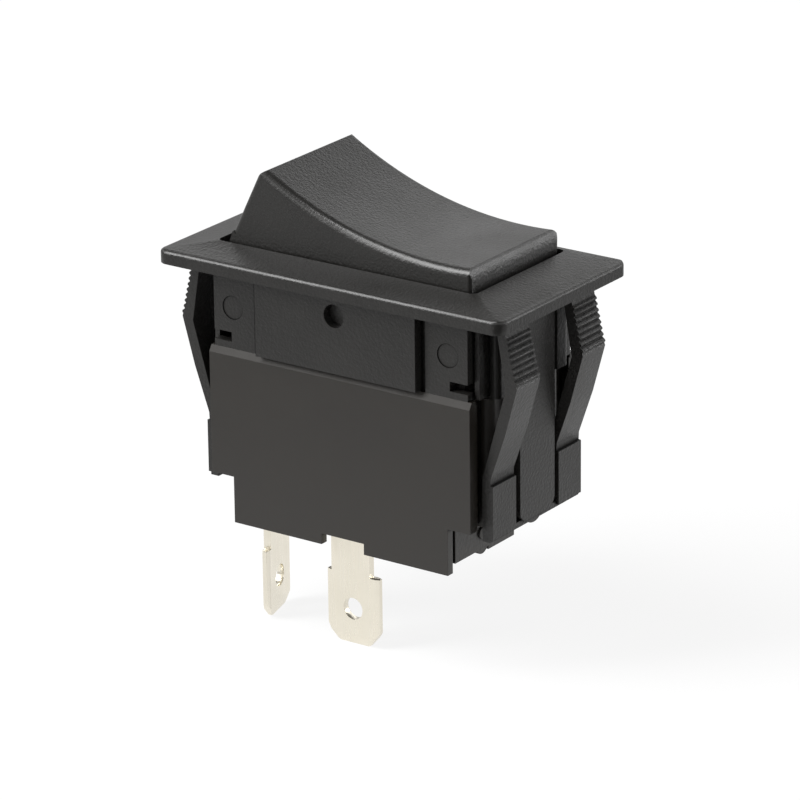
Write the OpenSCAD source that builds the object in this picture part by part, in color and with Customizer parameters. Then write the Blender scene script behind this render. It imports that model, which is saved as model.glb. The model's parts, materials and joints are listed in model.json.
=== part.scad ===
// Panel rocker switch, snap-in, single pole, on-off, with two quick-connect blades.
// Origin: centre of the bezel's underside, in the panel's front plane. +X along the bezel, +Z out of the panel.
// The rocker is drawn with its +X end pressed and the contact at the -X end closed.

/* [Bezel] */
// Length of the bezel
bezel_l = 41.2; // [40:0.1:42]
// Width of the bezel
bezel_w = 22.6; // [21.6:0.1:23]
// Thickness of the bezel at its outer edge
bezel_edge = 1.3; // [0.8:0.1:1.5]
// Height of the bezel at the opening
bezel_h = 2.4; // [1.8:0.1:2.6]
// Radius of the bezel's corners
bezel_r = 1.3; // [0.5:0.1:2]
// Length of the opening
open_l = 30.8; // [30.6:0.1:31.2]
// Width of the opening
open_w = 16; // [15.9:0.1:16.2]

/* [Frame walls] */
// Depth of the long walls under the bezel
wall_h = 8.3; // [8.2:0.1:8.3]
// Half length of the long walls
wall_x = 15.2; // [15:0.1:15.3]
// Outer face of the long walls from the middle
wall_y = 9; // [8.9:0.1:9.1]
// How far the middle panel of each long wall stands out
panel_out = 0.8; // [0.4:0.1:1]
// Half length of the middle panel
panel_x = 9.6; // [9:0.1:9.8]
// Width of the groove beside the middle panel
groove_w = 0.65; // [0.4:0.05:0.9]
// Radius of the trunnion holes
pivot_hole_r = 1.2; // [1.2:0.01:1.25]

/* [Snap arms] */
// Thickness of a snap arm
arm_t = 0.95; // [0.8:0.05:1.1]
// Number of grip ridges on a snap arm
ridges = 8; // [6:1:9]
// Height of a grip ridge
ridge_h = 0.2; // [0.1:0.05:0.3]

/* [Rocker] */
// Half width of the rocker
rocker_y = 7.7; // [7.6:0.05:7.75]
// Radius of the hollow top of the rocker, along its length
dish_r = 41.5; // [40:0.5:44]
// Radius along the long top edges of the rocker
edge_r = 0.85; // [0.7:0.05:0.95]
// Tilt of the rocker from level
tilt = 13.5; // [13.5:0.1:13.5]
// Radius of the rocker's trunnions
trunnion_r = 1.15; // [1.1:0.01:1.16]

/* [Blades] */
// Width of a quick-connect blade
blade_w = 6.35; // [6.2:0.05:6.4]
// Thickness of a blade
blade_t = 0.8; // [0.7:0.05:0.85]
// Radius of the dimple hole in a blade
blade_hole_r = 1.15; // [0.9:0.05:1.3]
// Turn of the end blade away from square
blade_turn = 15; // [0:1:15]

/* [Hidden] */
$fn = 64;

// Frame
pivot_z = -2.2;
wall_in = 8;
end_in = 15.35;
end_skin = 15.9;
end_h = 8.6;
column_x = 16.9;
column_y0 = 4.15;
column_y1 = 6.2;
tongue_x = 17.3;
tongue_y = 3.05;
tongue_h = 22.4;
hanger_in = 16.05;
strip_x = 17;
strip_h = 22.9;
arm_y0 = 3.8;
arm_y1 = 7.85;

// Rocker mechanism
dish_z = 8.1;
crease_r = 0.18;
crease_x = 12.25;
corner_r = 0.6;
stem_y = -4.2;
stem_r = 2.2;
stem_h = 7;
bore_r = 1.3;
plunger_r = 1.25;
tip_z = -9.55;
lever_z = -14;
lever_tilt = 5;
lever_w = 3.6;
lever_t = 0.8;
contact_x = -9.4;
contact_gap = 0.02;
arm_top = lever_z - 0.82;
saddle_top = lever_z - 1.2;
spring_z0 = -3.2;
spring_z1 = 4;

// Base
base_y = 9.4;
base_in = 7.6;
base_x = 14.6;
ear_x = 15.67;
ear_y = 8.1;
base_top = -8.3;
base_floor = -20.5;
base_under = -21.85;
end_under = -22.25;
block_x = 13;
block_y = 2.3;
plate_y = 8.5;
plate_under = -26.75;
shoulder_z = -30.2;
tip_end_z = -37.7;
hole_z = -33.9;
centre_blade_y = -6.9;
end_blade_x = -11.75;
end_blade_y = -4.23;
neck_w = 4.65;

// Outer face of a snap arm, from its free end down to the pad: [x, z].
ARM = [[18.8, -1.1], [19.03, -2.5], [19.4, -4], [19.74, -5.5], [20.1, -6.5], [19.4, -9],
       [18.7, -11.5], [18, -13.5], [17.06, -16.2], [17.02, -17], [17.3, -17.05], [17.3, -22.6]];

// Half outline of the rocker from its foot up to the end of the dish: [x, z] from the pivot.
ROCKER_END = [[12.9, -2.8], [14.6, -2.8], [14.8, -2.5], [14.95, -0.4], [14.63, 2.35], [13.35, 7.95],
              [13.22, 8.5], [13.04, 8.98], [12.8, 9.42], [12.5, 9.78], [12.2, 10], [12, 10.4]];

// The same outline at the other end, in the order that closes a loop.
function flip(points) = [for (i = [len(points) - 1:-1:0]) [-points[i][0], points[i][1]]];

// Point on the outer face of a snap arm at height z.
function arm_at(z) = lookup(-z, [for (p = ARM) [-p[1], p[0]]]);

module each_end() {
    children();
    mirror([1, 0, 0]) children();
}

module each_side() {
    children();
    mirror([0, 1, 0]) children();
}

// Box between two corners.
module block(a, b) {
    translate(a) cube(b - a);
}

module round_rect(x, y, r) {
    square([x - 2 * r, y], center = true);
    square([x, y - 2 * r], center = true);
    for (sx = [-1, 1])
        for (sy = [-1, 1])
            translate([sx * (x / 2 - r), sy * (y / 2 - r)]) circle(r = r);
}

// Outline in X and Z, drawn along Y between two planes.
module along_y(y0, y1) {
    translate([0, y1, 0]) rotate([90, 0, 0]) linear_extrude(height = y1 - y0) children();
}

// Outline in Y and Z, drawn along X between two planes.
module along_x(x0, x1) {
    translate([x0, 0, 0]) rotate([90, 0, 90]) linear_extrude(height = x1 - x0) children();
}

// Sloped edge shape of the bezel: half size, half opening.
module bezel_roof(half, opening) {
    polygon([[-half, 0], [half, 0], [half, bezel_edge], [opening, bezel_h],
             [-opening, bezel_h], [-half, bezel_edge]]);
}

module bezel() {
    intersection() {
        linear_extrude(height = bezel_h) round_rect(bezel_l, bezel_w, bezel_r);
        along_y(-bezel_w, bezel_w) bezel_roof(bezel_l / 2, open_l / 2);
        along_x(-bezel_l, bezel_l) bezel_roof(bezel_w / 2, open_w / 2);
    }
}

module long_wall() {
    difference() {
        union() {
            block([-wall_x, wall_in, -wall_h], [wall_x, wall_y, 0.5]);
            block([-panel_x, wall_in, -8.2], [panel_x, wall_y + panel_out, 0.5]);
        }
        for (s = [-1, 1]) {
            translate([s * (panel_x + groove_w / 2), 0, 0])
                block([-groove_w / 2, wall_y - 0.5, -9], [groove_w / 2, wall_y + 1, -0.05]);
            translate([s * 12.9, wall_y, -4])
                rotate([90, 0, 0]) cylinder(r = 1.25, h = 0.2, center = true);
        }
        translate([0, wall_in, pivot_z])
            rotate([90, 0, 0]) cylinder(r = pivot_hole_r, h = 6, center = true);
        each_end() block([13.1, wall_in - 1, -7.6], [wall_x + 1, wall_y + 1, -6.6]);
    }
}

// Outline of a snap arm: ridges and pad outside, two straight faces inside that meet at the knee.
module arm_outline() {
    pitch = 4.8 / ridges;
    grip = [for (i = [0:ridges - 1])
            for (p = [[0, 0], [ridge_h, 0.35 * pitch], [ridge_h, 0.6 * pitch], [0, 0.9 * pitch]])
            [arm_at(-1.5 - i * pitch - p[1]) + p[0], -1.5 - i * pitch - p[1]]];
    outer = concat([ARM[0]], grip, [for (i = [4:len(ARM) - 1]) ARM[i]]);
    inner = [[hanger_in, -22.6], [hanger_in, -17], [hanger_in + 0.06, -16.2],
             [19.75 - arm_t, -6.8], [ARM[0][0] - arm_t, ARM[0][1]]];
    polygon(concat(outer, inner));
}

// Everything that hangs from the bezel at the +X end.
module end_wall() {
    block([end_in, -column_y1, -end_h], [end_skin, column_y1, 0.5]);
    each_side() {
        block([end_in, column_y1 - 0.5, -wall_h], [end_skin, 8, 0.5]);
        translate([0, 0, -end_h]) linear_extrude(height = end_h + 0.5) {
            translate([0, 0]) polygon([[end_in, column_y0], [column_x, column_y0],
                [column_x, column_y1 - 0.6], [column_x - 0.6, column_y1], [end_in, column_y1]]);
            translate([column_x - 0.6, column_y1 - 0.6]) circle(r = 0.6);
        }
        along_y(arm_y0, arm_y1) arm_outline();
    }
    block([end_in, -tongue_y, -end_h], [tongue_x, tongue_y, 0.5]);
    along_x(hanger_in, tongue_x) {
        translate([-tongue_y, -tongue_h + 1.2]) square([2 * tongue_y, tongue_h - 1]);
        translate([-tongue_y + 1.2, -tongue_h]) square([2 * tongue_y - 2.4, 3]);
        for (s = [-1, 1])
            translate([s * (tongue_y - 1.2), -tongue_h + 1.2]) circle(r = 1.2);
    }
    block([hanger_in, -arm_y1, -strip_h], [strip_x, arm_y1, -22.3]);
    // lip that carries the base
    block([15.4, -2, -strip_h], [hanger_in + 0.5, 2, -22.3]);
}

module frame() color("#2c2c2e") {
    difference() {
        union() {
            bezel();
            each_side() long_wall();
            each_end() end_wall();
        }
        linear_extrude(height = 8, center = true) round_rect(open_l, open_w, 0.7);
    }
}

// Turns and lowers a shape drawn level, with the pivot at its origin, to the pressed pose.
module rocked() {
    translate([0, 0, pivot_z]) rotate([0, tilt, 0]) children();
}

// Profile spun round the centre of the hollow top of the rocker.
module spun() {
    translate([0, 0, dish_r + dish_z]) rotate([90, 0, 0]) rotate_extrude($fn = 256) children();
}

// Ring whose inner face is the hollow top of the rocker, with rounded long edges.
module dish_ring() {
    spun() difference() {
        translate([dish_r, -rocker_y]) square([20, 2 * rocker_y]);
        for (s = [-1, 1]) difference() {
            translate([dish_r - 1, s * rocker_y - (s + 1) / 2 * edge_r]) square([edge_r + 1, edge_r]);
            translate([dish_r + edge_r, s * (rocker_y - edge_r)]) circle(r = edge_r);
        }
    }
}

// Fine crease that outlines the hollow top.
module crease() {
    y = rocker_y - edge_r;
    intersection() {
        spun() for (s = [-1, 1]) translate([dish_r, s * y]) circle(r = crease_r, $fn = 16);
        block([-crease_x, -9, 0], [crease_x, 9, 12]);
    }
    each_end() translate([crease_x, 0, dish_r + dish_z - sqrt(dish_r * dish_r - crease_x * crease_x)])
        rotate([90, 0, 0]) cylinder(r = crease_r, h = 2 * y, center = true, $fn = 16);
}

// Waste outside the rounded upright corner of the rocker at +X and +Y.
module corner_waste() {
    translate([14.63, rocker_y, 2.35]) rotate([0, -12.9, 0]) linear_extrude(height = 9) difference() {
        translate([-corner_r, -corner_r]) square(corner_r + 1);
        translate([-corner_r, -corner_r]) circle(r = corner_r);
    }
}

module rocker() color("#29292b") rocked() {
    difference() {
        union() {
            intersection() {
                along_y(-rocker_y, rocker_y) polygon(concat(ROCKER_END, flip(ROCKER_END)));
                dish_ring();
            }
            rotate([90, 0, 0]) cylinder(r = trunnion_r, h = 17.6, center = true);
        }
        along_y(-6.2, 6.2) polygon([[-13.3, -3.4], [13.3, -3.4], [12.6, 3.6], [11.2, 6.9], [6, 6.3],
                                    [0, 6], [-6, 6.3], [-11.2, 6.9], [-12.6, 3.6]]);
        crease();
        each_end() each_side() corner_waste();
    }
    difference() {
        union() {
            translate([0, stem_y, -stem_h]) cylinder(r = stem_r, h = stem_h + 6.4);
            block([-0.6, -6.5, -1], [0.6, 6.5, 6.4]);
            for (s = [-1, 1])
                translate([s * 7, 0, 0]) block([-0.5, -6.5, 1], [0.5, 6.5, 6.7]);
        }
        translate([0, stem_y, -stem_h - 1]) cylinder(r = bore_r, h = stem_h + 1 + spring_z1);
    }
}

module plunger() color("#c9c4b4") rocked() translate([0, stem_y, 0]) {
    translate([0, 0, tip_z]) sphere(r = plunger_r);
    translate([0, 0, tip_z]) cylinder(r = plunger_r, h = spring_z0 - tip_z);
    translate([0, 0, spring_z0]) cylinder(r = 0.6, h = 1.2);
}

// Round wire wound in a coil from z = 0 up.
module coil(r, wire, pitch, turns) {
    seg = 20;
    sides = 8;
    n = seg * turns;
    points = [for (i = [0:n]) for (j = [0:sides - 1])
              let (a = 360 * i / seg, b = 360 * j / sides)
              [(r + wire * cos(b)) * cos(a), (r + wire * cos(b)) * sin(a), pitch * i / seg + wire * sin(b)]];
    skin = [for (i = [0:n - 1]) for (j = [0:sides - 1]) for (k = [0, 1])
            let (a = i * sides + j, b = i * sides + (j + 1) % sides)
            k == 0 ? [a, b, b + sides] : [a, b + sides, a + sides]];
    caps = [[for (j = [sides - 1:-1:0]) j], [for (j = [0:sides - 1]) n * sides + j]];
    polyhedron(points = points, faces = concat(skin, caps));
}

module plunger_spring() color("#b9bcc0") rocked() {
    translate([0, stem_y, spring_z0 + 0.22])
        coil(0.95, 0.2, (spring_z1 - spring_z0 - 0.44) / 6, 6);
}

// Height of the lever's rocking curve of radius r, at x from the fulcrum.
function curve_z(r, x) = 6.938 - sqrt(r * r - x * x);

// Lever outline drawn level, with its fulcrum at the origin.
module lever_outline() {
    under = [for (i = [-8:8]) [0.4 * i, curve_z(6.768, 0.4 * i)]];
    top = [for (i = [-15:15]) [-0.2 * i, curve_z(5.968, 0.2 * i)]];
    difference() {
        polygon(concat([[-10.5, 1.724], [-3.7, 1.14]], under, [[3.7, 1.14], [10.5, 1.724], [10.5, 2.52],
                       [3.4, 1.9]], top, [[-3.4, 1.9], [-10.5, 2.52]]));
        circle(r = 0.45);
    }
}

module contact_lever() color("#c08a4a") {
    difference() {
        translate([0, 0, lever_z]) rotate([0, -lever_tilt, 0])
            along_y(stem_y - lever_w / 2, stem_y + lever_w / 2) lever_outline();
        translate([contact_x, stem_y, lever_z + 0.4]) cylinder(r = 0.62, h = 3);
    }
}

module moving_contact() color("#d4d4d0") {
    translate([contact_x, stem_y, lever_z]) cylinder(r = 1.4, h = 0.79);
    translate([contact_x, stem_y, lever_z + 0.4]) cylinder(r = 0.6, h = 1.4);
}

module fixed_contact() color("#d4d4d0") {
    translate([contact_x, stem_y, arm_top]) cylinder(r = 1.5, h = lever_z - arm_top - contact_gap);
    translate([contact_x, stem_y, lever_z - 1.9]) cylinder(r = 0.7, h = 1.5);
}

// Quick-connect blade hanging down, its width along X and its middle plane at Y = 0.
module blade() {
    half = blade_w / 2;
    t = blade_t / 2;
    difference() {
        intersection() {
            along_y(-t, t) polygon([[-half, shoulder_z], [half, shoulder_z], [half, tip_end_z + 1.8],
                                    [half - 0.12, tip_end_z + 1.5], [half - 1.2, tip_end_z + 0.15],
                                    [half - 1.5, tip_end_z], [1.5 - half, tip_end_z],
                                    [1.2 - half, tip_end_z + 0.15], [0.12 - half, tip_end_z + 1.5],
                                    [-half, tip_end_z + 1.8]]);
            along_x(-half, half) polygon([[-t, shoulder_z + 1], [t, shoulder_z + 1], [t, tip_end_z + 1.1],
                                          [t * 0.4, tip_end_z], [-t * 0.4, tip_end_z],
                                          [-t, tip_end_z + 1.1]]);
            translate([0, 0, tip_end_z - 1]) linear_extrude(height = 10)
                polygon([[-half, -t * 0.55], [0.5 - half, -t], [half - 0.5, -t], [half, -t * 0.55],
                         [half, t * 0.55], [half - 0.5, t], [0.5 - half, t], [-half, t * 0.55]]);
        }
        translate([0, 0, hole_z]) rotate([90, 0, 0]) cylinder(r = blade_hole_r, h = 3, center = true);
    }
}

module centre_terminal() color("#cfcabb") {
    y0 = centre_blade_y - blade_t / 2;
    y1 = centre_blade_y + blade_t / 2;
    translate([0, centre_blade_y, 0]) blade();
    block([-2.58, y0, shoulder_z - 0.5], [-2.58 + neck_w, y1, -25.8]);
    block([-2.05, y0, -25.9], [2.05, y1, saddle_top]);
    block([-1.2, y0, saddle_top - blade_t], [1.2, y1, lever_z + 1.5]);
    block([-2.05, y0, saddle_top - blade_t], [2.05, -1.1, saddle_top]);
    block([-1.2, -1.9, saddle_top - blade_t], [1.2, -1.1, lever_z + 1.5]);
    block([-0.3, stem_y - 1.8, saddle_top - 0.4], [0.3, stem_y + 1.8, lever_z]);
    translate([0, stem_y, lever_z]) rotate([90, 0, 0]) cylinder(r = 0.4, h = lever_w, center = true);
}

module end_terminal() color("#cfcabb") {
    x0 = end_blade_x - blade_t / 2;
    x1 = end_blade_x + blade_t / 2;
    translate([end_blade_x, end_blade_y, 0]) rotate([0, 0, 90 + blade_turn]) {
        blade();
        block([-neck_w / 2, -blade_t / 2, shoulder_z - 0.5], [neck_w / 2, blade_t / 2, -26]);
    }
    difference() {
        union() {
            block([x0, end_blade_y - 2.05, -26.3], [x1, end_blade_y + 2.05, arm_top]);
            block([x0, stem_y - 1.8, arm_top - blade_t], [-7.9, stem_y + 1.8, arm_top]);
        }
        translate([contact_x, stem_y, lever_z - 2.6]) cylinder(r = 0.72, h = 3);
    }
}

module base() color("#333335") {
    difference() {
        union() {
            intersection() {
                union() {
                    block([-base_x, -base_y, base_under], [base_x, base_y, base_top]);
                    each_side() block([-ear_x, ear_y, base_under], [ear_x, base_y, base_top]);
                    translate([0, 0, end_under]) linear_extrude(height = -8.8 - end_under)
                        round_rect(31.8, 12.4, 1);
                }
                along_x(-20, 20) polygon([[-base_y, -23], [base_y, -23], [base_y, base_top - 0.66],
                                          [wall_y, base_top], [-wall_y, base_top],
                                          [-base_y, base_top - 0.66]]);
            }
            // front plate, and the terminal block behind it with its feet
            block([-block_x, -base_y, plate_under], [block_x, -plate_y, base_under + 1]);
            block([-block_x, -plate_y - 0.1, -25.9], [block_x, block_y, base_under + 1]);
            block([-block_x, -2.3, -26.3], [block_x, block_y, base_under + 1]);
            each_end() {
                along_x(11.4, block_x) {
                    for (foot = [[-3.35, 1.05, -26.4], [5.9, 1.9, -26.1]]) {
                        translate([foot[0] - foot[1], foot[2] + foot[1]])
                            square([2 * foot[1], base_under - foot[2] - foot[1] + 0.5]);
                        translate([foot[0], foot[2] + foot[1]]) circle(r = foot[1]);
                    }
                }
                translate([block_x - 0.5, -3.5, -24.1]) rotate([0, 90, 0]) cylinder(r = 0.6, h = 0.7);
            }
        }
        block([-13.6, -base_in, base_floor], [13.6, base_in, 0]);
        block([-17, -8.3, -8.8], [17, 8.3, -8.2]);
        // joint line behind the front plate
        each_end() block([block_x - 0.4, -plate_y, -28], [block_x + 0.1, -8.1, base_under]);
        // notch in the front plate, recess around the centre blade, and its slot up into the chamber
        block([-2.2, -10, -27], [2.9, -plate_y + 0.1, -25.6]);
        block([-2.8, -plate_y, -27], [2.9, -5.9, -25.6]);
        block([-2.1, centre_blade_y - 0.45, -27], [2.1, centre_blade_y + 0.45, -20]);
        // recess around the end blade, and its slot
        block([-13.1, -7.6, -27], [-10.6, -0.9, -25.3]);
        block([end_blade_x - 0.45, end_blade_y - 2.1, -27], [end_blade_x + 0.45, end_blade_y + 2.1, -20]);
        // cored-out pockets under the block
        block([-9.6, -7.9, -27], [-3.8, 0.3, -22.8]);
        block([3.8, -7.9, -27], [11, 0.3, -22.8]);
    }
    // posts under the fixed contact and the free end of the lever
    block([-10.9, stem_y - 1.8, base_floor - 0.5], [-7.9, stem_y + 1.8, lever_z - 1.95]);
    block([-11.2, stem_y - 1.8, base_floor - 0.5], [-10.4, stem_y + 1.8, lever_z - 1.64]);
    block([8.4, stem_y - 1.8, base_floor - 0.5], [10.6, stem_y + 1.8, lever_z + 0.77]);
    // posts under the saddle
    block([-2, -6.2, base_floor - 0.5], [2, -1.1, lever_z - 2.02]);
}

frame();
rocker();
base();
centre_terminal();
end_terminal();
fixed_contact();
contact_lever();
moving_contact();
plunger();
plunger_spring();
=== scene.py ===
"""Panel rocker switch: finishes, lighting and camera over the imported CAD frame."""

import json
import logging
import math
from dataclasses import dataclass, field
from enum import Enum
from typing import Any

import bpy
from mathutils import Matrix, Vector

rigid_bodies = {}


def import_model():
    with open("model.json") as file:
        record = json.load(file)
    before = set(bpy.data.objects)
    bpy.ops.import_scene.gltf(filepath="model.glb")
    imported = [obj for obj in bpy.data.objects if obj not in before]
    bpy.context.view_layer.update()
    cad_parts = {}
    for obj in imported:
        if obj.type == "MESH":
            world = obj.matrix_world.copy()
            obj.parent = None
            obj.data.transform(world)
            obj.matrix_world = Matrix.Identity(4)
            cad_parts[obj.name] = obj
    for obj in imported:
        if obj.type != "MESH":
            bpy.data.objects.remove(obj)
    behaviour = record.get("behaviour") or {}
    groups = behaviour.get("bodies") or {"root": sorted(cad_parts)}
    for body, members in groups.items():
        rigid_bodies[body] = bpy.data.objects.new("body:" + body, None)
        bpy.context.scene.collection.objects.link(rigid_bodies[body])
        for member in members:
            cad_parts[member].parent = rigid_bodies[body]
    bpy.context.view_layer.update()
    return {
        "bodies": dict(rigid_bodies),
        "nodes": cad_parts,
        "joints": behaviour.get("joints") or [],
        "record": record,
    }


logging.basicConfig(level=logging.INFO, format="%(message)s")
LOG = logging.getLogger("rocker_switch")

MM = 0.001
# Colour of the painted shade that the nylon materials lay into grooves, crevices and corners.
GROOVE_SHADE_COLOUR = "#0b0b0a"
WELD_MM = 0.002
FLAT_DEG = 0.3
BEVEL_DEG = 35
SHARP_DEG = 28
WHITE = (1, 1, 1, 1)

Colour = tuple[float, float, float, float]


def linear(hex_colour: str) -> Colour:
    """Turn an sRGB hex colour into the linear colour that shaders use.

    Args:
        hex_colour: colour such as "#3b3a38".

    Returns:
        Linear red, green, blue and an alpha of 1.
    """
    parts = [int(hex_colour[i : i + 2], 16) / 255 for i in (1, 3, 5)]
    lin = [c / 12.92 if c <= 0.04045 else ((c + 0.055) / 1.055) ** 2.4 for c in parts]
    return (lin[0], lin[1], lin[2], 1.0)


def add_node(
    tree: bpy.types.NodeTree,
    kind: str,
    inputs: dict[Any, Any] | None = None,
    **settings: Any,
) -> bpy.types.Node:
    """Add a node to a tree with its settings, values and links.

    Args:
        tree: node tree that gets the node.
        kind: node type, such as "ShaderNodeTexNoise".
        inputs: socket name or number to a value, or to the output socket that feeds it.
        settings: attributes of the node.

    Returns:
        The new node.
    """
    node = tree.nodes.new(kind)
    for key, value in settings.items():
        setattr(node, key, value)
    for key, value in (inputs or {}).items():
        if isinstance(value, bpy.types.NodeSocket):
            tree.links.new(value, node.inputs[key])
        else:
            node.inputs[key].default_value = value
    return node


def per_mm(size_mm: float) -> float:
    """Texture scale, per metre, of a pattern whose marks are size_mm apart."""
    return 1.0 / (size_mm * MM)


def new_material(name: str) -> tuple[bpy.types.Material, bpy.types.NodeTree, Any]:
    """Make an empty node material.

    Args:
        name: the material's name.

    Returns:
        The material, its node tree and its object-coordinate output.
    """
    material = bpy.data.materials.new(name)
    material.use_nodes = True
    tree = material.node_tree
    tree.nodes.clear()
    coords = add_node(tree, "ShaderNodeTexCoord")
    return material, tree, coords.outputs["Object"]


def finish_material(tree: bpy.types.NodeTree, shader: bpy.types.Node) -> None:
    """Link a shader to the material's surface output."""
    add_node(tree, "ShaderNodeOutputMaterial", {"Surface": shader.outputs[0]})


@dataclass(frozen=True)
class ErodedNylon:
    """Black nylon 66, injection moulded against spark-eroded steel.

    The erosion leaves close, shallow pits, so the skin is dull and sparkles a little where light
    grazes it, and the edges polish first. Grooves, crevices and corners get painted shade: a
    dark, dull skin mixed in where ambient occlusion finds them.

    Attributes:
        name: the material's name.
        colour: fresh skin.
        worn: handled skin, a little paler.
        roughness: middle of the skin's roughness.
        grain_mm: distance between pits.
        depth_mm: depth of the pits.
        ior: refractive index, which sets how much the skin mirrors.
        smooth_beyond_y_mm: distance from the middle beyond which the side faces are polished.
        rub: change of roughness on the long rounded edges.
        crevice_mm: reach within which a facing wall makes a crevice.
        edge_calm: share of the grain that rubbing takes off the long edges.
        polish: share of the grain left on polished side faces.
        groove_range: openness at which the painted groove shade is whole, and at which it is
            gone.
    """

    name: str
    colour: str = "#191817"
    worn: str = "#201f1d"
    roughness: float = 0.38
    grain_mm: float = 0.2
    depth_mm: float = 0.07
    ior: float = 1.46
    smooth_beyond_y_mm: float | None = None
    rub: float = -0.08
    crevice_mm: float = 0.5
    edge_calm: float = 0.65
    polish: float = 0.12
    groove_range: tuple[float, float] = (0.58, 0.95)

    def long_edges(self, tree: bpy.types.NodeTree) -> bpy.types.NodeSocket:
        """Find the rounded edges that run along the switch, which handling rubs smooth.

        Args:
            tree: the material's node tree.

        Returns:
            Output that rises to 1 where the skin turns between a side and the top or an end.
        """
        skin = add_node(tree, "ShaderNodeNewGeometry")
        axes = add_node(tree, "ShaderNodeSeparateXYZ", {"Vector": skin.outputs["Normal"]})
        square = add_node(
            tree, "ShaderNodeMath", {0: axes.outputs["Y"], 1: 2.0}, operation="POWER"
        )
        rest = add_node(
            tree, "ShaderNodeMath", {0: 1.0, 1: square.outputs[0]}, operation="SUBTRACT"
        )
        turn = add_node(
            tree,
            "ShaderNodeMath",
            {0: square.outputs[0], 1: rest.outputs[0]},
            operation="MULTIPLY",
        )
        edge = add_node(
            tree,
            "ShaderNodeMapRange",
            {"Value": turn.outputs[0], "From Min": 0.04, "From Max": 0.2},
        )
        return edge.outputs["Result"]

    def openness(self, tree: bpy.types.NodeTree) -> bpy.types.NodeSocket:
        """Tell open skin from grooves and corners.

        Args:
            tree: the material's node tree.

        Returns:
            Output of 1 on open skin, falling towards 0 deep in a groove.
        """
        # Ambient occlusion finds where shade falls; this output decides where the painted shade
        # goes.
        hollow = add_node(
            tree,
            "ShaderNodeAmbientOcclusion",
            {"Distance": self.crevice_mm * MM},
            samples=8,
            only_local=True,
        )
        level = add_node(
            tree,
            "ShaderNodeMapRange",
            {
                "Value": hollow.outputs["AO"],
                "From Min": self.groove_range[0],
                "From Max": self.groove_range[1],
            },
        )
        return level.outputs["Result"]

    def grain_strength(
        self,
        tree: bpy.types.NodeTree,
        place: bpy.types.NodeSocket,
        edges: bpy.types.NodeSocket,
    ) -> bpy.types.NodeSocket:
        """Say how much of the grain each spot keeps.

        Args:
            tree: the material's node tree.
            place: position on the piece, in metres.
            edges: output of long_edges.

        Returns:
            Output of 1 where the grain is whole, and less where the skin is rubbed or polished.
        """
        if self.smooth_beyond_y_mm is None:
            calm = add_node(
                tree,
                "ShaderNodeMath",
                {0: edges, 1: -self.edge_calm, 2: 1.0},
                operation="MULTIPLY_ADD",
            )
            return calm.outputs[0]
        axes = add_node(tree, "ShaderNodeSeparateXYZ", {"Vector": place})
        side = add_node(tree, "ShaderNodeMath", {0: axes.outputs["Y"]}, operation="ABSOLUTE")
        face = add_node(
            tree,
            "ShaderNodeMapRange",
            {
                "Value": side.outputs[0],
                "From Min": (self.smooth_beyond_y_mm - 0.05) * MM,
                "From Max": self.smooth_beyond_y_mm * MM,
                "To Min": 1.0,
                "To Max": self.polish,
            },
        )
        return face.outputs["Result"]

    def build(self) -> bpy.types.Material:
        """Make the material.

        Returns:
            The material, ready for a slot.
        """
        material, tree, place = new_material(self.name)
        edges = self.long_edges(tree)
        open_skin = self.openness(tree)
        pits = add_node(
            tree,
            "ShaderNodeTexNoise",
            {
                "Vector": place,
                "Scale": per_mm(self.grain_mm * 1.6),
                "Detail": 3.0,
                "Roughness": 0.55,
            },
        )
        cloud = add_node(
            tree, "ShaderNodeTexNoise", {"Vector": place, "Scale": per_mm(6.0), "Detail": 3.0}
        )
        bump = add_node(
            tree,
            "ShaderNodeBump",
            {
                "Strength": self.grain_strength(tree, place, edges),
                "Distance": self.depth_mm * MM,
                "Height": pits.outputs["Fac"],
            },
        )
        tone = add_node(
            tree,
            "ShaderNodeMix",
            {"Factor": cloud.outputs["Fac"], "A": linear(self.colour), "B": linear(self.worn)},
            data_type="RGBA",
        )
        gloss = add_node(
            tree,
            "ShaderNodeMapRange",
            {
                "Value": cloud.outputs["Fac"],
                "From Min": 0.3,
                "From Max": 0.7,
                "To Min": self.roughness - 0.03,
                "To Max": self.roughness + 0.05,
            },
        )
        rubbed = add_node(
            tree,
            "ShaderNodeMath",
            {0: edges, 1: self.rub, 2: gloss.outputs["Result"]},
            operation="MULTIPLY_ADD",
        )
        shader = add_node(
            tree,
            "ShaderNodeBsdfPrincipled",
            {
                "Base Color": tone.outputs["Result"],
                "Roughness": rubbed.outputs[0],
                "IOR": self.ior,
                "Normal": bump.outputs["Normal"],
            },
        )
        # Painted shade: a dark, dull skin mixed over the nylon in grooves, crevices and corners.
        groove_shade = add_node(
            tree,
            "ShaderNodeBsdfPrincipled",
            {"Base Color": linear(GROOVE_SHADE_COLOUR), "Roughness": 0.8, "Specular IOR Level": 0.1},
        )
        skin = add_node(
            tree,
            "ShaderNodeMixShader",
            {0: open_skin, 1: groove_shade.outputs[0], 2: shader.outputs[0]},
        )
        finish_material(tree, skin)
        return material


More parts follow.
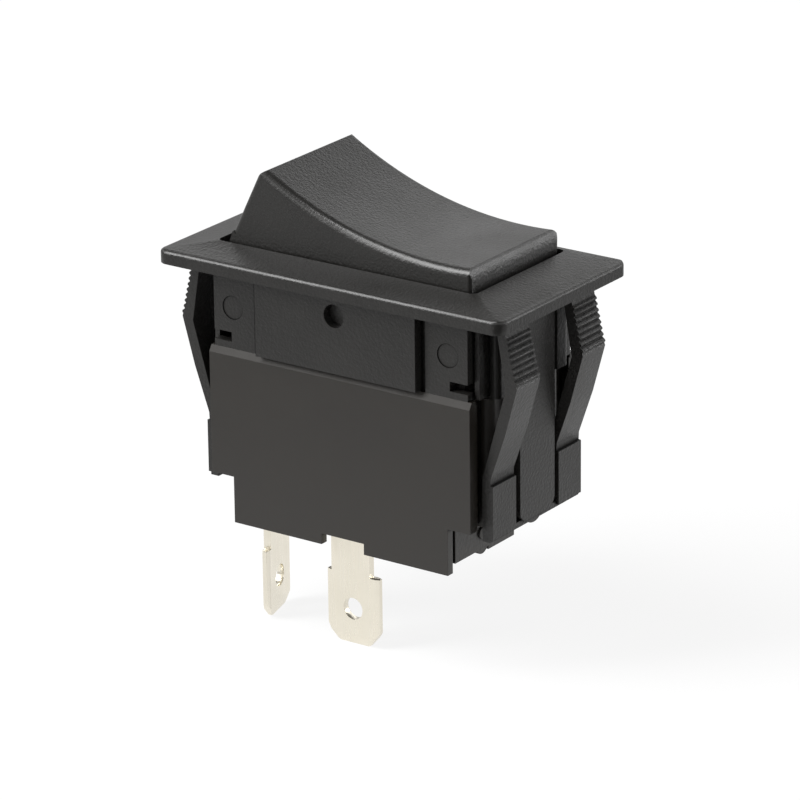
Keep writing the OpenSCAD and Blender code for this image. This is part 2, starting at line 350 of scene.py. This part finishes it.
@dataclass(frozen=True)
class TinnedBrass:
    """Brass strip, rolled, blanked and plated with matt tin.

    Tin gives a pale, slightly warm grey with a soft mirror, and the rolling marks run down the
    strip.

    Attributes:
        name: the material's name.
        colour: bright plating.
        dull: oxidised plating, a little darker.
        roughness: middle of the plating's roughness.
        mark_mm: distance between rolling marks.
        mark_stretch: how much slower the marks change along the strip than across it.
    """

    name: str
    colour: str = "#f0eadc"
    dull: str = "#e2dccc"
    roughness: float = 0.3
    mark_mm: float = 0.12
    mark_stretch: float = 0.06

    def build(self) -> bpy.types.Material:
        """Make the material.

        Returns:
            The material, ready for a slot.
        """
        material, tree, place = new_material(self.name)
        stretch = add_node(
            tree,
            "ShaderNodeMapping",
            {"Vector": place, "Scale": (1.0, 1.0, self.mark_stretch)},
        )
        marks = add_node(
            tree,
            "ShaderNodeTexNoise",
            {
                "Vector": stretch.outputs["Vector"],
                "Scale": per_mm(self.mark_mm * 3),
                "Detail": 4.0,
            },
        )
        blotch = add_node(
            tree, "ShaderNodeTexNoise", {"Vector": place, "Scale": per_mm(3.0), "Detail": 4.0}
        )
        tone = add_node(
            tree,
            "ShaderNodeMix",
            {"Factor": blotch.outputs["Fac"], "A": linear(self.colour), "B": linear(self.dull)},
            data_type="RGBA",
        )
        gloss = add_node(
            tree,
            "ShaderNodeMapRange",
            {
                "Value": marks.outputs["Fac"],
                "From Min": 0.3,
                "From Max": 0.7,
                "To Min": self.roughness - 0.08,
                "To Max": self.roughness + 0.1,
            },
        )
        bump = add_node(
            tree,
            "ShaderNodeBump",
            {"Strength": 0.35, "Distance": 0.01 * MM, "Height": marks.outputs["Fac"]},
        )
        shader = add_node(
            tree,
            "ShaderNodeBsdfPrincipled",
            {
                "Base Color": tone.outputs["Result"],
                "Metallic": 1.0,
                "Roughness": gloss.outputs["Result"],
                "Normal": bump.outputs["Normal"],
            },
        )
        finish_material(tree, shader)
        return material


class Light(Enum):
    """The studio's lamps: place, width and height in metres, and power in watts."""

    FRONT_LEFT = ((-0.5, -0.5, 0.68), 0.4, 1.0, 14.0)
    BACK_RIGHT = ((0.6, 0.72, 0.2), 0.25, 0.25, 2.2)


def geometry_group(name: str) -> tuple[bpy.types.NodeTree, bpy.types.NodeSocket]:
    """Make a geometry node group with one geometry input and one output.

    Args:
        name: the group's name.

    Returns:
        The group and its incoming geometry.
    """
    group = bpy.data.node_groups.new(name, "GeometryNodeTree")
    for way in ("INPUT", "OUTPUT"):
        group.interface.new_socket("Geometry", in_out=way, socket_type="NodeSocketGeometry")
    return group, add_node(group, "NodeGroupInput").outputs[0]


def sharper_than(group: bpy.types.NodeTree, degrees: float) -> bpy.types.NodeSocket:
    """Pick the edges whose faces meet at more than an angle.

    Args:
        group: geometry node group that asks.
        degrees: the angle, where 0 is flat.

    Returns:
        Output that is true on such an edge.
    """
    angle = add_node(group, "GeometryNodeInputMeshEdgeAngle")
    sharp = add_node(
        group,
        "FunctionNodeCompare",
        {0: angle.outputs["Unsigned Angle"], 1: math.radians(degrees)},
        data_type="FLOAT",
        operation="GREATER_THAN",
    )
    return sharp.outputs[0]


def soften_group() -> bpy.types.NodeTree:
    """Geometry nodes that weld a tessellated solid and shade it smooth up to sharp edges.

    Returns:
        The node group.
    """
    group, solid = geometry_group("soften")
    weld = add_node(
        group, "GeometryNodeMergeByDistance", {"Geometry": solid, "Distance": WELD_MM * MM}
    )
    smooth = add_node(
        group,
        "GeometryNodeSetShadeSmooth",
        {"Geometry": weld.outputs[0], "Shade Smooth": True},
        domain="FACE",
    )
    edges = add_node(
        group,
        "GeometryNodeSetShadeSmooth",
        {
            "Geometry": smooth.outputs[0],
            "Selection": sharper_than(group, SHARP_DEG),
            "Shade Smooth": False,
        },
        domain="EDGE",
    )
    add_node(group, "NodeGroupOutput", {0: edges.outputs[0]})
    return group


def rim_group(
    low_mm: float = 1.25, high_mm: float = 1.5, bent_deg: float = 45
) -> bpy.types.NodeTree:
    """Geometry nodes that give the bezel's upper rim a bevel weight of 1.

    Args:
        low_mm: height that the rim lies above.
        high_mm: height that the rim lies below.
        bent_deg: angle that the rim's faces meet at, or more.

    Returns:
        The node group.
    """
    group, solid = geometry_group("bezel_rim")
    place = add_node(group, "GeometryNodeInputPosition")
    height = add_node(group, "ShaderNodeSeparateXYZ", {"Vector": place.outputs[0]}).outputs["Z"]
    above = add_node(
        group, "FunctionNodeCompare", {0: height, 1: low_mm * MM}, operation="GREATER_THAN"
    )
    below = add_node(
        group, "FunctionNodeCompare", {0: height, 1: high_mm * MM}, operation="LESS_THAN"
    )
    level = add_node(
        group,
        "FunctionNodeBooleanMath",
        {0: above.outputs[0], 1: below.outputs[0]},
        operation="AND",
    )
    rim = add_node(
        group,
        "FunctionNodeBooleanMath",
        {0: level.outputs[0], 1: sharper_than(group, bent_deg)},
        operation="AND",
    )
    store = add_node(
        group,
        "GeometryNodeStoreNamedAttribute",
        {
            "Geometry": solid,
            "Selection": rim.outputs[0],
            "Name": "bevel_weight_edge",
            "Value": 1.0,
        },
        data_type="FLOAT",
        domain="EDGE",
    )
    add_node(group, "NodeGroupOutput", {0: store.outputs[0]})
    return group


def merge_flats(piece: bpy.types.Object) -> None:
    """Join the triangles of each flat face, so that a bevel rounds only real edges."""
    flat = piece.modifiers.new("flat_faces", "DECIMATE")
    flat.decimate_type = "DISSOLVE"
    flat.angle_limit = math.radians(FLAT_DEG)


@dataclass
class SwitchParts:
    """The switch's CAD pieces, dressed in their finishes.

    Attributes:
        edge_mm: radius that moulding or tumbling leaves on each piece's edges.
        rim_mm: radius of the bezel's upper rim.
    """

    edge_mm: dict[str, float] = field(
        default_factory=lambda: {
            "frame": 0.12,
            "rocker": 0.04,
            "base": 0.14,
            "centre_terminal": 0.06,
            "end_terminal": 0.06,
        }
    )
    rim_mm: float = 0.3

    def finishes(self) -> dict[str, bpy.types.Material]:
        """Make every material and say which piece takes which.

        Returns:
            Node name to material.
        """
        # Nylon 66 frame: a dull black skin with close pits.
        housing = ErodedNylon("black_nylon_spark_eroded").build()
        # Nylon 66 button from a finer eroded tool: the same black with a tighter grain.
        button = ErodedNylon(
            "black_nylon_fine_eroded", roughness=0.36, grain_mm=0.18, depth_mm=0.06, ior=1.5
        ).build()
        # Mineral-filled moulding compound from a ground tool: a warmer black, plain on its sides.
        cup = ErodedNylon(
            "black_moulding_compound",
            colour="#1e1b18",
            worn="#221f1a",
            roughness=0.36,
            grain_mm=0.3,
            depth_mm=0.04,
            ior=1.5,
            smooth_beyond_y_mm=8.9,
            rub=0.3,
        ).build()
        # Tin-plated brass strip: pale, with soft rolling marks.
        tin = TinnedBrass("tinned_brass_strip").build()
        # Silver alloy rivets, headed cold: white metal.
        silver = TinnedBrass(
            "silver_contact", colour="#e4e2dc", dull="#cfcdc6", roughness=0.28
        ).build()
        # Bare copper alloy strip: orange, with browner patches.
        copper = TinnedBrass(
            "copper_strip", colour="#c88f62", dull="#a8703f", roughness=0.38
        ).build()
        # Drawn steel wire: grey, bright along the draw.
        wire = TinnedBrass("drawn_spring_wire", colour="#a9abb0", dull="#8b8d92").build()
        # Natural acetal pin: milky white and smooth.
        acetal = ErodedNylon(
            "natural_acetal", colour="#d9d4c2", worn="#e2dece", roughness=0.38, depth_mm=0.004
        ).build()
        return {
            "frame": housing,
            "rocker": button,
            "base": cup,
            "centre_terminal": tin,
            "end_terminal": tin,
            "fixed_contact": silver,
            "moving_contact": silver,
            "contact_lever": copper,
            "plunger": acetal,
            "plunger_spring": wire,
        }

    def round_rim(self, frame: bpy.types.Object) -> None:
        """Round the bezel's upper rim, which is softer than the other edges of the moulding.

        Args:
            frame: the frame's CAD object.
        """
        merge_flats(frame)
        pick = frame.modifiers.new("pick_rim", "NODES")
        pick.node_group = rim_group()
        rim = frame.modifiers.new("round_rim", "BEVEL")
        rim.width = self.rim_mm * MM
        rim.segments = 4
        rim.limit_method = "WEIGHT"
        rim.harden_normals = False
        rim.use_clamp_overlap = False

    def dress(self, nodes: dict[str, bpy.types.Object]) -> None:
        """Give each CAD piece its finish, its soft edges and smooth shading.

        Args:
            nodes: node name to CAD object.
        """
        group = soften_group()
        for name, material in self.finishes().items():
            piece = nodes[name]
            piece.data.materials.clear()
            piece.data.materials.append(material)
            weld = piece.modifiers.new("weld", "WELD")
            weld.merge_threshold = WELD_MM * MM
            if name == "frame":
                self.round_rim(piece)
            if name in self.edge_mm:
                merge_flats(piece)
                edge = piece.modifiers.new("soft_edges", "BEVEL")
                edge.width = self.edge_mm[name] * MM
                edge.segments = 2
                edge.limit_method = "ANGLE"
                edge.angle_limit = math.radians(BEVEL_DEG)
                edge.harden_normals = False
                edge.use_clamp_overlap = True
            soft = piece.modifiers.new("soften", "NODES")
            soft.node_group = group
            level = piece.modifiers.new("level_faces", "WEIGHTED_NORMAL")
            level.mode = "FACE_AREA"
            level.weight = 50
            level.keep_sharp = True
            LOG.info("dressed %s in %s", name, material.name)


@dataclass
class Studio:
    """White floor, soft lamps, pale world and the camera.

    The floor is white to the camera; in reflections only, it carries a painted dark reflection,
    darkest in a sector at the front right and fading with distance.

    Attributes:
        azimuth: camera's turn from the -Y direction towards +X, in degrees.
        elevation: camera's height above the horizon, in degrees.
        roll: camera's roll, in degrees.
        distance_mm: distance from the origin along the view.
        aim_right_mm: how far right of the origin the camera looks.
        aim_down_mm: how far below the origin the camera looks.
        lens_mm: lens on a 36 mm sensor.
        floor_mm: height of the floor, just under the blades' tips.
        floor_half_m: half the floor's width.
        floor_glow: share of the floor's white that no shadow takes away.
        wall: mirrored brightness of the tent's wall.
        wall_top: elevation of the wall's top edge, in degrees.
        ceiling: mirrored brightness of the tent's ceiling.
        ceiling_from: elevation where the ceiling starts, in degrees.
        skirting: mirrored brightness of the wall's foot, as a share of the wall's.
        skirting_deg: elevations between which the foot turns into the wall.
        ambient: light that the room gives to unlit skin.
        dark_sector_turn: direction of the painted dark reflection sector from +X, in degrees.
        dark_sector_half: half the painted dark sector's width, in degrees.
        dark_sector_soft: half the width of the painted dark sector's soft edge, in degrees.
        dark_sector_from_m: distances between which the floor turns dark in the painted sector, in
            reflections only.
        reflected_fade_m: distances between which the floor, as reflections see it, fades
            everywhere.
        far_shade: share of the floor's white that the fade takes away.
    """

    azimuth: float = 35.22
    elevation: float = 18.65
    roll: float = -0.70
    distance_mm: float = 476.3
    aim_right_mm: float = 0.731
    aim_down_mm: float = 13.06
    lens_mm: float = 216.95
    floor_mm: float = -37.75
    floor_half_m: float = 3.0
    floor_glow: float = 0.86
    wall: float = 1.65
    wall_top: float = 32.0
    ceiling: float = 0.2
    ceiling_from: float = 48.0
    skirting: float = 0.15
    skirting_deg: tuple[float, float] = (8.0, 22.0)
    ambient: float = 0.4
    dark_sector_turn: float = -48.0
    dark_sector_half: float = 40.0
    dark_sector_soft: float = 8.0
    dark_sector_from_m: tuple[float, float] = (0.05, 0.09)
    reflected_fade_m: tuple[float, float] = (0.06, 0.12)
    far_shade: float = 0.42

    def direct_rays(self, tree: bpy.types.NodeTree) -> bpy.types.NodeSocket:
        """Say whether a ray comes from the camera, a reflection or glass.

        Args:
            tree: node tree that asks.

        Returns:
            Output that is 1 for such a ray, and 0 for a diffuse one.
        """
        seen = add_node(tree, "ShaderNodeLightPath")
        mirrored = add_node(
            tree,
            "ShaderNodeMath",
            {0: seen.outputs["Is Camera Ray"], 1: seen.outputs["Is Glossy Ray"]},
            operation="MAXIMUM",
        )
        either = add_node(
            tree,
            "ShaderNodeMath",
            {0: mirrored.outputs[0], 1: seen.outputs["Is Transmission Ray"]},
            operation="MAXIMUM",
        )
        return either.outputs[0]

    def mirrored_shade(
        self, tree: bpy.types.NodeTree, place: bpy.types.NodeSocket
    ) -> bpy.types.NodeSocket:
        """Say how dark the floor looks where the switch mirrors it.

        Args:
            tree: the floor's node tree.
            place: position on the floor, in metres.

        Returns:
            Output that is 0 on white floor, rises with distance, and is 1 in the painted dark
            sector.
            It is 0 everywhere for rays that aren't mirrored.
        """
        away = add_node(tree, "ShaderNodeVectorMath", {0: place}, operation="NORMALIZE")
        reach = add_node(tree, "ShaderNodeVectorMath", {0: place}, operation="LENGTH")
        turn = math.radians(self.dark_sector_turn)
        facing = add_node(
            tree,
            "ShaderNodeVectorMath",
            {0: away.outputs["Vector"], 1: (math.cos(turn), math.sin(turn), 0.0)},
            operation="DOT_PRODUCT",
        )
        sector = add_node(
            tree,
            "ShaderNodeMapRange",
            {
                "Value": facing.outputs["Value"],
                "From Min": math.cos(math.radians(self.dark_sector_half + self.dark_sector_soft)),
                "From Max": math.cos(math.radians(self.dark_sector_half - self.dark_sector_soft)),
            },
            interpolation_type="SMOOTHSTEP",
        )
        beyond = add_node(
            tree,
            "ShaderNodeMapRange",
            {
                "Value": reach.outputs["Value"],
                "From Min": self.dark_sector_from_m[0],
                "From Max": self.dark_sector_from_m[1],
            },
            interpolation_type="SMOOTHSTEP",
        )
        seen = add_node(tree, "ShaderNodeLightPath")
        there = add_node(
            tree,
            "ShaderNodeMath",
            {0: sector.outputs["Result"], 1: beyond.outputs["Result"]},
            operation="MULTIPLY",
        )
        fading = add_node(
            tree,
            "ShaderNodeMapRange",
            {
                "Value": reach.outputs["Value"],
                "From Min": self.reflected_fade_m[0],
                "From Max": self.reflected_fade_m[1],
                "To Max": self.far_shade,
            },
        )
        darker = add_node(
            tree,
            "ShaderNodeMath",
            {0: there.outputs[0], 1: fading.outputs["Result"]},
            operation="MAXIMUM",
        )
        dark = add_node(
            tree,
            "ShaderNodeMath",
            {0: darker.outputs[0], 1: seen.outputs["Is Glossy Ray"]},
            operation="MULTIPLY",
        )
        return dark.outputs[0]

    def floor(self) -> None:
        """Lay the white floor, which keeps a faint shadow of the switch."""
        mesh = bpy.data.meshes.new("studio_floor")
        half = self.floor_half_m
        z = self.floor_mm * MM
        mesh.from_pydata(
            [(-half, -half, z), (half, -half, z), (half, half, z), (-half, half, z)],
            [],
            [(0, 1, 2, 3)],
        )
        plane = bpy.data.objects.new("studio_floor", mesh)
        bpy.context.scene.collection.objects.link(plane)
        material, tree, place = new_material("white_sweep")
        paper = add_node(
            tree,
            "ShaderNodeBsdfPrincipled",
            {"Base Color": linear("#f4f4f4"), "Roughness": 0.9, "Specular IOR Level": 0.0},
        )
        glow = add_node(tree, "ShaderNodeEmission", {"Color": WHITE, "Strength": 1.0})
        share = add_node(
            tree,
            "ShaderNodeMath",
            {0: self.direct_rays(tree), 1: self.floor_glow},
            operation="MULTIPLY",
        )
        mix = add_node(
            tree,
            "ShaderNodeMixShader",
            {0: share.outputs[0], 1: paper.outputs[0], 2: glow.outputs[0]},
        )
        shade = add_node(tree, "ShaderNodeEmission", {"Color": WHITE, "Strength": 0.0})
        # Painted reflection: glossy rays see the floor go dark in a sector at the front right and
        # with distance, while the camera sees it white.
        swept = add_node(
            tree,
            "ShaderNodeMixShader",
            {0: self.mirrored_shade(tree, place), 1: mix.outputs[0], 2: shade.outputs[0]},
        )
        finish_material(tree, swept)
        mesh.materials.append(material)
        LOG.info("laid studio_floor")

    def world(self) -> None:
        """Set the pale world: white to the camera, a soft grey dome to the object."""
        world = bpy.data.worlds.new("pale_room")
        bpy.context.scene.world = world
        world.use_nodes = True
        tree = world.node_tree
        tree.nodes.clear()
        place = add_node(tree, "ShaderNodeTexCoord")
        axes = add_node(tree, "ShaderNodeSeparateXYZ", {"Vector": place.outputs["Generated"]})
        dome = add_node(
            tree,
            "ShaderNodeMapRange",
            {
                "Value": axes.outputs["Z"],
                "From Min": math.sin(math.radians(self.wall_top)),
                "From Max": math.sin(math.radians(self.ceiling_from)),
                "To Min": self.wall,
                "To Max": self.ceiling,
            },
            interpolation_type="SMOOTHSTEP",
        )
        skirting = add_node(
            tree,
            "ShaderNodeMapRange",
            {
                "Value": axes.outputs["Z"],
                "From Min": math.sin(math.radians(self.skirting_deg[0])),
                "From Max": math.sin(math.radians(self.skirting_deg[1])),
                "To Min": self.skirting,
                "To Max": 1.0,
            },
            interpolation_type="SMOOTHSTEP",
        )
        room = add_node(
            tree,
            "ShaderNodeMath",
            {0: dome.outputs["Result"], 1: skirting.outputs["Result"]},
            operation="MULTIPLY",
        )
        seen = add_node(tree, "ShaderNodeLightPath")
        reflected = add_node(
            tree,
            "ShaderNodeMix",
            {
                "Factor": seen.outputs["Is Glossy Ray"],
                "A": self.ambient,
                "B": room.outputs[0],
            },
            data_type="FLOAT",
        )
        level = add_node(
            tree,
            "ShaderNodeMix",
            {
                "Factor": seen.outputs["Is Camera Ray"],
                "A": reflected.outputs["Result"],
                "B": 1.0,
            },
            data_type="FLOAT",
        )
        sky = add_node(
            tree, "ShaderNodeBackground", {"Color": WHITE, "Strength": level.outputs["Result"]}
        )
        add_node(tree, "ShaderNodeOutputWorld", {"Surface": sky.outputs[0]})

    def lamps(self) -> None:
        """Hang the soft lamps, each aimed at the switch."""
        for lamp in Light:
            place, width, height, power = lamp.value
            data = bpy.data.lights.new(lamp.name.lower(), "AREA")
            data.shape = "RECTANGLE"
            data.size = width
            data.size_y = height
            data.energy = power
            hung = bpy.data.objects.new(lamp.name.lower(), data)
            bpy.context.scene.collection.objects.link(hung)
            hung.location = place
            aim = Vector((0, 0, -0.012)) - Vector(place)
            hung.rotation_euler = aim.to_track_quat("-Z", "Y").to_euler()
            LOG.info("hung lamp %s", hung.name)

    def camera(self) -> None:
        """Place the camera at the product view."""
        a, e = math.radians(self.azimuth), math.radians(self.elevation)
        back = Vector((math.sin(a) * math.cos(e), -math.cos(a) * math.cos(e), math.sin(e)))
        right = Vector((math.cos(a), math.sin(a), 0))
        up = back.cross(right)
        aim = (right * self.aim_right_mm - up * self.aim_down_mm) * MM
        place = back * self.distance_mm * MM
        forward = (aim - place).normalized()
        side = forward.cross(up).normalized()
        level = side.cross(forward)
        basis = Matrix((side, level, -forward)).transposed()
        turn = Matrix.Rotation(math.radians(self.roll), 3, -forward)
        data = bpy.data.cameras.new("product_view")
        data.lens = self.lens_mm
        data.sensor_width = 36.0
        data.clip_start = 0.01
        camera = bpy.data.objects.new("product_view", data)
        bpy.context.scene.collection.objects.link(camera)
        camera.matrix_world = Matrix.Translation(place) @ (turn @ basis).to_4x4()
        bpy.context.scene.camera = camera

    def build(self) -> None:
        """Build the whole studio."""
        self.floor()
        self.world()
        self.lamps()
        self.camera()
        bpy.context.scene.view_settings.view_transform = "Standard"


def main() -> None:
    """Dress the switch and set the studio."""
    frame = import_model()
    Studio().build()
    SwitchParts().dress(frame["nodes"])


if __name__ == "__main__":
    main()
